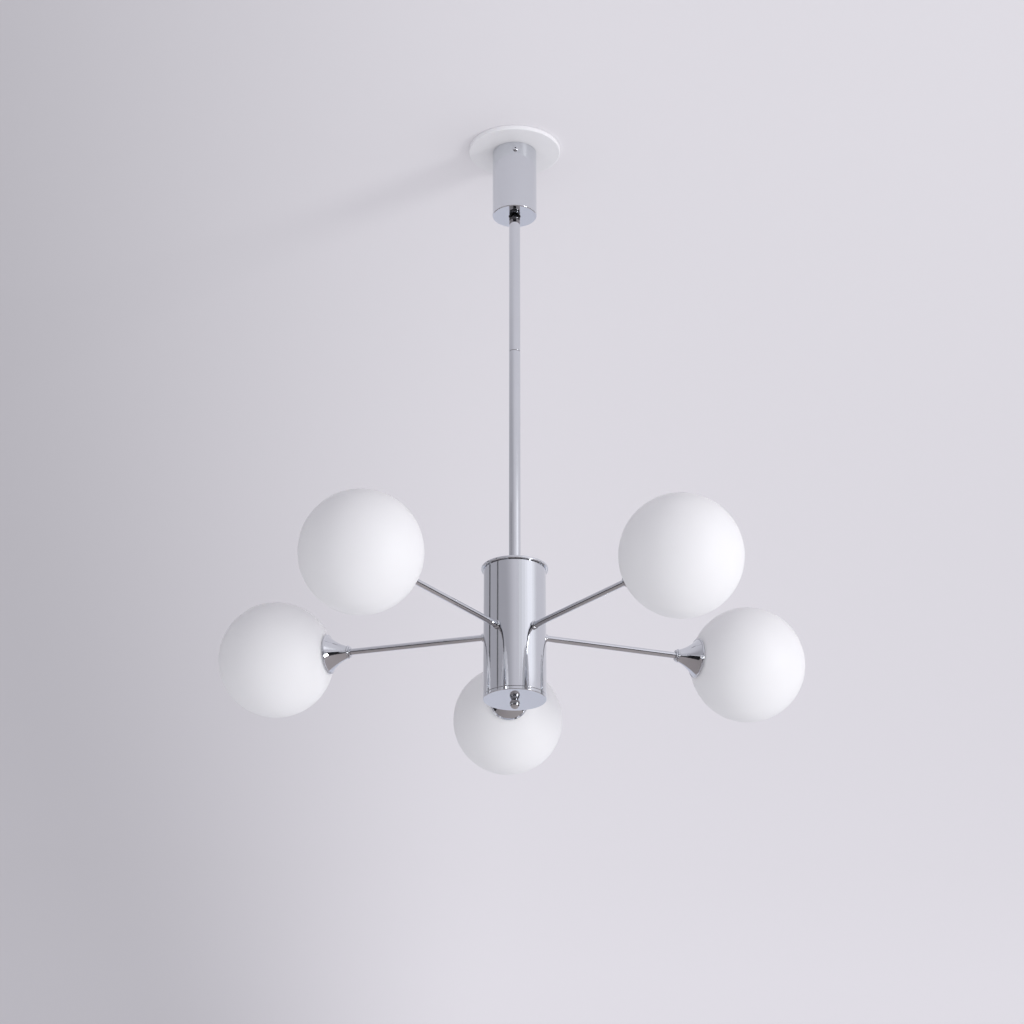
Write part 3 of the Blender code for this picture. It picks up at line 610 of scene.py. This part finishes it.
nylon, nodes, links, shader = new_material("Black_nylon")
varied(nodes, links, shader.inputs["Base Color"], 40, (0.018, 0.018, 0.019), (0.030, 0.030, 0.031))
shader.inputs["Roughness"].default_value = 0.5
grain(nodes, links, shader, 1100, 0.015 * MM)
frame["nodes"]["swivel_washer"].data.materials.clear()
frame["nodes"]["swivel_washer"].data.materials.append(nylon)

# the ball joint's chrome is given a dark colour, far below the other chrome's, so that it shows dark
darkened_chrome, nodes, links, shader = new_material("Darkened_chrome")
shader.inputs["Metallic"].default_value = 1.0
varied(nodes, links, shader.inputs["Base Color"], 40, (0.15, 0.155, 0.17), (0.19, 0.195, 0.21))
varied(nodes, links, shader.inputs["Roughness"], 60, 0.07, 0.13)
grain(nodes, links, shader, 1800, 0.002 * MM)

low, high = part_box("swivel_ball")
rod_low, rod_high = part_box("upper_rod")
rod_r = rod_high.x
stud_r = 5.7 * MM
rod_bore = 6 * MM
collar_low = rod_high.z + 0.3 * MM
collar_top = canopy_low.z - rod_r * math.sin(math.radians(10 * math.sqrt(2))) - 0.3 * MM
outline = [(ball_bore, ball_z + math.sqrt(ball_r ** 2 - 16 * MM * MM))]
outline += reversed(ball_arc(ball_r, math.asin(neck_r / ball_r), math.pi - math.asin(4 * MM / ball_r), 28, ball_z))
outline.append((neck_r, collar_top))
for i in range(1, 15):
    a = math.pi * i / 15
    outline.append((rod_r * (collar_side + (1 - collar_side) * math.sin(a)),
                    collar_top + (collar_low - collar_top) * (1 - math.cos(a)) / 2))
outline += [(stud_r, collar_low), (stud_r, low.z), (ball_bore, low.z)]
ball = turned("Swivel_ball", outline, darkened_chrome, steps=96)
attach(ball, "hanging_frame")
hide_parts("swivel_ball")


# ---------------------------------------------------------------- down rods
# Two polished chrome tubes, screwed end to end on a brass nipple, so that only a fine line shows between them.
rod_edge = 0.35 * MM

for name, node in (("Upper_rod", "upper_rod"), ("Lower_rod", "lower_rod")):
    low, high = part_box(node)
    outline = eased([(rod_bore, high.z), (rod_r, high.z, rod_edge), (rod_r, low.z, rod_edge), (rod_bore, low.z)], 3)
    rod = turned(name, outline, chrome, steps=96)
    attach(rod, "hanging_frame")
    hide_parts(node)

brass, nodes, links, shader = new_material("Turned_brass")
shader.inputs["Metallic"].default_value = 1.0
varied(nodes, links, shader.inputs["Base Color"], 120, (0.62, 0.46, 0.21), (0.72, 0.55, 0.27))
varied(nodes, links, shader.inputs["Roughness"], 80, 0.22, 0.36)
grain(nodes, links, shader, 1500, 0.006 * MM)
frame["nodes"]["rod_nipple"].data.materials.clear()
frame["nodes"]["rod_nipple"].data.materials.append(brass)


# ---------------------------------------------------------------- rod collar
# Turned chrome collar nut that clamps the drum's stud to the rod, with two fine grooves for grip.
collar_edge = 1.0 * MM
groove_width = 0.8 * MM
groove_depth = 0.35 * MM
stud_hole = 6 * MM

low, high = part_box("rod_collar")
collar_r = high.x
outline = [(stud_hole, high.z), (collar_r, high.z, collar_edge)]
for share in (0.64, 0.36):
    z = low.z + (high.z - low.z) * share
    outline += [(collar_r, z + groove_width / 2), (collar_r - groove_depth, z + groove_width * 0.3),
                (collar_r - groove_depth, z - groove_width * 0.3), (collar_r, z - groove_width / 2)]
outline += [(collar_r, low.z, collar_edge), (stud_hole, low.z)]
collar = turned("Rod_collar", eased(outline), chrome, steps=96)
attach(collar, "hanging_frame")
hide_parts("rod_collar")


# ---------------------------------------------------------------- drum caps
# Spun chrome discs with a locating rim inside the drum. The top one stands proud of the drum with a rolled
# edge; the bottom one is flush with it.
top_edge = 1.3 * MM
under_edge = 0.8 * MM
face_edge = 0.7 * MM
spigot_wall = 1.5 * MM
foot_hole = 3.3 * MM

body_low, body_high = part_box("drum_tube")
body_r = body_high.x
spigot_r = body_r - 1.5 * MM - 0.3 * MM
low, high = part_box("top_cap")
under = body_high.z + 0.3 * MM
outline = [(stud_hole, high.z), (high.x, high.z, top_edge), (high.x, under, under_edge), (spigot_r, under),
           (spigot_r, low.z, 0.3 * MM), (spigot_r - spigot_wall, low.z), (spigot_r - spigot_wall, under), (stud_hole, under)]
top_cap = turned("Top_cap", eased(outline), chrome, steps=192)

low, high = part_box("bottom_cap")
over = body_low.z - 0.3 * MM
outline = [(foot_hole, low.z), (body_r, low.z, face_edge), (body_r, over, 0.35 * MM), (spigot_r, over),
           (spigot_r, high.z, 0.3 * MM), (spigot_r - spigot_wall, high.z), (spigot_r - spigot_wall, over), (foot_hole, over)]
bottom_cap = turned("Bottom_cap", eased(outline), chrome, steps=192)
for cap, node in ((top_cap, "top_cap"), (bottom_cap, "bottom_cap")):
    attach(cap, "hanging_frame")
    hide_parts(node)


# ---------------------------------------------------------------- drum
# Polished chrome tube round the hub and the wiring, with five holes for the arms.
drum_wall = 1.5 * MM
drum_edge = 0.35 * MM
arm_hole = 8.8 * MM

arm_axes = [(Vector(j["axis"]), Vector(j["pos_m"])) for j in frame["joints"] if j["name"].endswith("_unscrew")]
arm_z = arm_axes[0][1].z
outline = eased([(body_r - drum_wall, body_high.z), (body_r, body_high.z, drum_edge), (body_r, body_low.z, drum_edge),
                 (body_r - drum_wall, body_low.z)], 3)
drum = turned("Drum", outline, chrome, steps=240)
holes = []
for axis, seat_point in arm_axes:
    outward = axis.to_track_quat("Z", "Y").to_matrix().to_4x4()
    holes.append(slot_cutter((0, 0, arm_z), arm_hole, arm_hole, 30 * MM, 50 * MM, turn=outward))
cut_out(drum, holes)
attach(drum, "hanging_frame")
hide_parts("drum_tube")


# ---------------------------------------------------------------- hub and stud
# Zinc-plated hub inside the drum that the arms screw into, and the hollow stud that ties rod, hub and ball nut.
for node in ("arm_hub", "centre_stud"):
    frame["nodes"][node].data.materials.clear()
    frame["nodes"][node].data.materials.append(zinc_steel)


# ---------------------------------------------------------------- ball finial
# Turned chrome ball nut on the stud's lower end; it holds the bottom cap up.
finial_r = 6.75 * MM
finial_neck = 4.6 * MM

low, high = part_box("ball_finial")
finial_centre = low.z + finial_r
inner_end = finial_centre + 1.0 * MM
side = ball_arc(finial_r, math.pi - math.asin(finial_neck / finial_r), 0, 30, finial_centre)
side[-1] = (0, low.z)
outline = eased([(0, inner_end), (foot_hole, inner_end), (foot_hole, high.z), (finial_neck, high.z, 0.25 * MM), side[0]])
finial = turned("Ball_finial", outline + side[1:], chrome, steps=96)
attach(finial, "hanging_frame")
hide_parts("ball_finial")


# ---------------------------------------------------------------- arms
# Five straight chrome tubes screwed into the hub, each with a small collar where it leaves the drum. One is
# made along +Y and a geometry tree sets the other four round the drum.
arm_edge = 0.2 * MM
root_edge = 1.0 * MM


def ring_tree():
    """Copies of a piece, evenly round Z."""
    tree = bpy.data.node_groups.new("Ring_of_arms", "GeometryNodeTree")
    face = tree.interface
    face.new_socket("Geometry", in_out="INPUT", socket_type="NodeSocketGeometry")
    face.new_socket("Arms", in_out="INPUT", socket_type="NodeSocketInt")
    face.new_socket("Finish", in_out="INPUT", socket_type="NodeSocketMaterial")
    face.new_socket("Geometry", in_out="OUTPUT", socket_type="NodeSocketGeometry")
    add, link = tree.nodes.new, tree.links.new
    given, out = add("NodeGroupInput"), add("NodeGroupOutput")
    places = add("GeometryNodePoints")
    link(given.outputs["Arms"], places.inputs["Count"])
    number = add("GeometryNodeInputIndex")
    share = add("ShaderNodeMath")
    share.operation = "DIVIDE"
    link(number.outputs[0], share.inputs[0])
    link(given.outputs["Arms"], share.inputs[1])
    bearing = add("ShaderNodeMath")
    bearing.operation = "MULTIPLY"
    bearing.inputs[1].default_value = math.tau
    link(share.outputs[0], bearing.inputs[0])
    angles = add("ShaderNodeCombineXYZ")
    link(bearing.outputs[0], angles.inputs["Z"])
    turn = add("FunctionNodeEulerToRotation")
    link(angles.outputs[0], turn.inputs[0])
    copies = add("GeometryNodeInstanceOnPoints")
    link(places.outputs[0], copies.inputs["Points"])
    link(given.outputs["Geometry"], copies.inputs["Instance"])
    link(turn.outputs[0], copies.inputs["Rotation"])
    real = add("GeometryNodeRealizeInstances")
    link(copies.outputs[0], real.inputs[0])
    finish = add("GeometryNodeSetMaterial")
    link(real.outputs[0], finish.inputs["Geometry"])
    link(given.outputs["Finish"], finish.inputs["Material"])
    link(finish.outputs[0], out.inputs[0])
    return tree


ring_of_arms = ring_tree()
outward = (0, 1, 0)
arm_line = (0, 0, arm_z)


def on_every_arm(piece, node):
    """Five of the piece round the drum, in place of arm_1_node to arm_5_node."""
    grown(piece, ring_of_arms, Arms=len(arm_axes), Finish=piece.data.materials[0])
    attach(piece, "hanging_frame")
    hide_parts(*(f"arm_{k + 1}_{node}" for k in range(len(arm_axes))))


low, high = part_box("arm_1_tube")
arm_r = high.x
outline = eased([(arm_r - 1 * MM, low.y), (arm_r, low.y, arm_edge), (arm_r, high.y, arm_edge), (arm_r - 1 * MM, high.y)], 2)
on_every_arm(turned("Arm_tubes", outline, chrome, steps=64, along=outward, centre=arm_line), "tube")

low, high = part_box("arm_1_root_collar")
outline = eased([(arm_r + 0.3 * MM, low.y), (high.x, low.y, 0.2 * MM), (high.x, high.y, root_edge),
                 (arm_r + 0.3 * MM, high.y)])
on_every_arm(turned("Arm_root_collars", outline, chrome, steps=64, along=outward, centre=arm_line), "root_collar")


# ---------------------------------------------------------------- cup beads
# Turned ring behind each bell cup: a full bead and a smaller one, with a groove between them.
low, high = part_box("arm_1_cup_bead")
bead_r = high.x
bead_t = high.y - low.y
big, small = 0.62 * bead_t / 2, 0.30 * bead_t / 2
outline = [(arm_r + 0.3 * MM, low.y)]
for radius, half, start in ((bead_r * 0.82, small, low.y), (bead_r, big, low.y + 2 * small + 0.16 * bead_t)):
    outline += [(radius - half + half * math.cos(a), start + half + half * math.sin(a))
                for a in (math.pi * (i / 10 - 0.5) for i in range(11))]
outline += [(arm_r + 0.3 * MM, high.y)]
on_every_arm(turned("Cup_beads", outline, chrome, steps=96, along=outward, centre=arm_line), "cup_bead")


# ---------------------------------------------------------------- bell cups
# Spun chrome bells with a rolled lip, clamped on the end of each arm; the globe's neck sits inside.
cup_neck_r = 8 * MM
cup_wall = 1.2 * MM
cup_base = 2 * MM
cup_lip = 1.6 * MM
cup_bend = math.radians(27)
flare_steps = 18

low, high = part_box("arm_1_bell_cup")
cup_start, cup_mouth, mouth_r = low.y, high.y, high.x


def flare(offset):
    """(radius, distance) points along the bell's bent side, neck to lip, moved inward by `offset`."""
    start = Vector((cup_neck_r, cup_start))
    end = Vector((mouth_r - cup_lip * 1.35, cup_mouth - cup_lip * 1.6))
    chord = end - start
    heading = math.atan2(chord.x, chord.y)
    radius = chord.length / 2 / math.sin(cup_bend / 2)
    stride = 2 * radius * math.sin(cup_bend / flare_steps / 2)
    points, here = [], start.copy()
    for i in range(flare_steps + 1):
        a = heading - cup_bend / 2 + cup_bend * i / flare_steps
        points.append((here.x - offset * math.cos(a), here.y + offset * math.sin(a)))
        middle = a + cup_bend / flare_steps / 2
        here += Vector((math.sin(middle), math.cos(middle))) * stride
    return points


lip_middle = (mouth_r - cup_lip, cup_mouth - cup_lip)
lip = [(lip_middle[0] + cup_lip * math.cos(a), lip_middle[1] + cup_lip * math.sin(a))
       for a in (math.radians(-22 + 166 * i / 10) for i in range(11))]
wall = [p for p in flare(cup_wall) if p[1] > cup_start + cup_base + 0.3 * MM]
bore = arm_r + 0.3 * MM
outline = [(bore, cup_start), *flare(0), *lip, *reversed(wall), (wall[0][0] - 0.3 * MM, cup_start + cup_base),
           (bore, cup_start + cup_base)]
on_every_arm(turned("Bell_cups", outline, chrome, steps=112, along=outward, centre=arm_line), "bell_cup")


# ---------------------------------------------------------------- lampholders
# White ceramic push-in holders on the arm's end: a bush, a flange and a threaded skirt that the globe screws
# on to, with two holes for the lamp's pins.
skirt_r = 11.5 * MM
rim_r = skirt_r + 1.7 * MM
bush_r = 6.5 * MM
globe_pitch = 4 * MM
holder_ridge = 0.3 * MM
pin_pitch = 9 * MM
pin_hole = 2.2 * MM
pin_depth = 13.5 * MM
ceramic_white = (0.87, 0.86, 0.83)

ceramic, nodes, links, shader = new_material("White_ceramic")
varied(nodes, links, shader.inputs["Base Color"], 400, tuple(c * 0.93 for c in ceramic_white), ceramic_white, detail=6)
varied(nodes, links, shader.inputs["Roughness"], 100, 0.5, 0.7)
grain(nodes, links, shader, 1300, 0.02 * MM)

low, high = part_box("arm_1_lampholder")
skirt_start = high.y - 11.5 * MM
flange_start = skirt_start - 1.5 * MM
arm_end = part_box("arm_1_tube")[1].y
core_r = skirt_r - holder_ridge
outline = eased([(bore, 0), (bush_r, 0, 0.3 * MM), (bush_r, flange_start - 3 * MM - low.y),
                 (rim_r, flange_start - low.y, 0.3 * MM), (rim_r, skirt_start - low.y, 0.3 * MM),
                 (core_r, skirt_start - low.y), (core_r, high.y - low.y, 0.7 * MM), (0, high.y - low.y)])
outline += [(0, arm_end + 0.3 * MM - low.y), (bore, arm_end + 0.3 * MM - low.y)]
closed_back = outline[-2:] + outline[:-2]
holder = turned("Lampholders", closed_back, ceramic, steps=96)
cut_out(holder, [slot_cutter((0, side * pin_pitch / 2, 0), pin_hole, pin_hole, high.y - low.y - pin_depth,
                             high.y - low.y + MM, steps=12) for side in (-1, 1)])
thread_low = skirt_start - low.y + 1.6 * MM
moved(holder, Matrix.Translation((0, 0, -thread_low)))
grown(holder, helical_thread, Radius=core_r - 0.1 * MM, Pitch=globe_pitch, Length=high.y - skirt_start - 3.6 * MM,
      Ridge=holder_ridge, Finish=ceramic)
moved(holder, Matrix.Translation((0, low.y + thread_low, arm_z)) @ Matrix.Rotation(-math.pi / 2, 4, "X"))
on_every_arm(holder, "lampholder")


# ---------------------------------------------------------------- lamps
# Push-in capsule lamps: a frosted body on a white base, with two nickel pins. Each can be pulled straight out.
lamp_base_r = 7 * MM
lamp_base_l = 6 * MM
pin_r = 0.7 * MM
pin_length = 12 * MM

frosted, nodes, links, shader = new_material("Frosted_lamp")
varied(nodes, links, shader.inputs["Base Color"], 60, (0.86, 0.85, 0.80), (0.91, 0.90, 0.86))
shader.inputs["Roughness"].default_value = 0.5
shader.inputs["Subsurface Weight"].default_value = 0.3
shader.inputs["Subsurface Scale"].default_value = 0.005
grain(nodes, links, shader, 1500, 0.01 * MM)

nickel, nodes, links, shader = new_material("Nickel_pins")
shader.inputs["Metallic"].default_value = 1.0
varied(nodes, links, shader.inputs["Base Color"], 200, (0.58, 0.56, 0.52), (0.66, 0.64, 0.60))
varied(nodes, links, shader.inputs["Roughness"], 150, 0.2, 0.35)
grain(nodes, links, shader, 1800, 0.004 * MM)

low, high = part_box("arm_1_lamp")
lamp_r = high.x
lamp_start = low.y + pin_length
lamp_end = high.y
for k, (axis, seat_point) in enumerate(arm_axes):
    dome = lamp_end - lamp_r
    outline = eased([(0, lamp_start), (lamp_base_r, lamp_start, 0.5 * MM), (lamp_base_r, lamp_start + lamp_base_l),
                     (lamp_r, lamp_start + lamp_base_l + 1 * MM, 0.5 * MM)])
    outline += [(lamp_r * math.cos(math.pi / 2 * i / 14), dome + lamp_r * math.sin(math.pi / 2 * i / 14)) for i in range(15)]
    outline[-1] = (0, lamp_end)
    lamp = turned(f"Lamp_{k + 1}", outline, frosted, steps=64, along=axis, centre=arm_line)
    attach(lamp, f"lamp_{k + 1}")
    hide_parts(f"arm_{k + 1}_lamp")
    across = Vector((0, 0, 1)).cross(axis)
    pins = []
    for side in (-1, 1):
        at = Vector(arm_line) + across * (side * pin_pitch / 2)
        outline = eased([(0, lamp_start - pin_length), (pin_r, lamp_start - pin_length, 0.4 * MM), (pin_r, lamp_start + MM),
                         (0, lamp_start + MM)], 3)
        pins.append(turned(f"Lamp_{k + 1}_pin_{(side + 3) // 2}", outline, nickel, steps=20, along=axis, centre=at))
    for pin in pins:
        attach(pin, f"lamp_{k + 1}")


# ---------------------------------------------------------------- globe gaskets
# Soft silicone rings between the holder's flange and the glass neck.
silicone, nodes, links, shader = new_material("Silicone")
varied(nodes, links, shader.inputs["Base Color"], 80, (0.66, 0.66, 0.66), (0.75, 0.75, 0.75))
shader.inputs["Roughness"].default_value = 0.55
shader.inputs["Subsurface Weight"].default_value = 0.2
shader.inputs["Subsurface Scale"].default_value = 0.003
grain(nodes, links, shader, 1000, 0.01 * MM)

low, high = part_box("arm_1_globe_gasket")
gasket_bore = skirt_r + 0.4 * MM
for k, (axis, seat_point) in enumerate(arm_axes):
    outline = eased([(gasket_bore, low.y), (high.x, low.y, 0.5 * MM), (high.x, high.y, 0.5 * MM), (gasket_bore, high.y)])
    gasket = turned(f"Globe_gasket_{k + 1}", outline, silicone, steps=96, along=axis, centre=arm_line)
    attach(gasket, f"globe_seat_{k + 1}")
    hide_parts(f"arm_{k + 1}_globe_gasket")


# ---------------------------------------------------------------- opal globes
# Blown opal glass, acid-etched to a satin white, with a short neck that screws over the lampholder's skirt.
# The wall is thin, so light goes into it and comes out softened.
globe_wall = 2.5 * MM
neck_blend = 2.0 * MM
globe_steps = 72
opal_white = (0.895, 0.895, 0.895)

opal, nodes, links, shader = new_material("Opal_glass")
varied(nodes, links, shader.inputs["Base Color"], 9, tuple(c * 0.985 for c in opal_white), opal_white)
varied(nodes, links, shader.inputs["Roughness"], 70, 0.46, 0.56)
shader.inputs["IOR"].default_value = 1.5
shader.inputs["Specular IOR Level"].default_value = 0.4
shader.inputs["Subsurface Weight"].default_value = 0.35
shader.inputs["Subsurface Radius"].default_value = (1.0, 0.97, 0.94)
shader.inputs["Subsurface Scale"].default_value = 0.012
grain(nodes, links, shader, 1500, 0.004 * MM, strength=0.6)

low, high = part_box("arm_1_glass_globe")
globe_reach = arm_axes[0][1].y
globe_r = high.y - globe_reach
neck_bore = skirt_r + 0.4 * MM
neck_outer = neck_bore + globe_wall
inner_r = globe_r - globe_wall
neck_angle = math.asin(neck_outer / globe_r)
leave_angle = neck_angle + math.radians(1.6)
outer = ball_arc(globe_r, leave_angle, math.pi, globe_steps, globe_reach)
inner = ball_arc(inner_r, math.asin(neck_bore / inner_r), math.pi, globe_steps - 8, globe_reach)
outer[-1], inner[-1] = (0, globe_reach + globe_r), (0, globe_reach + inner_r)
shoulder = globe_reach - globe_r * math.cos(neck_angle)
for k, (axis, seat_point) in enumerate(arm_axes):
    rim = eased([inner[0], (neck_bore, low.y, 0.8 * MM), (neck_outer, low.y, 0.8 * MM),
                 (neck_outer, shoulder, neck_blend), outer[0]])
    outline = list(reversed(inner[1:])) + rim + outer[1:]
    globe = turned(f"Opal_globe_{k + 1}", outline, opal, steps=128, along=axis, centre=arm_line)
    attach(globe, f"globe_{k + 1}")
    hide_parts(f"arm_{k + 1}_glass_globe")
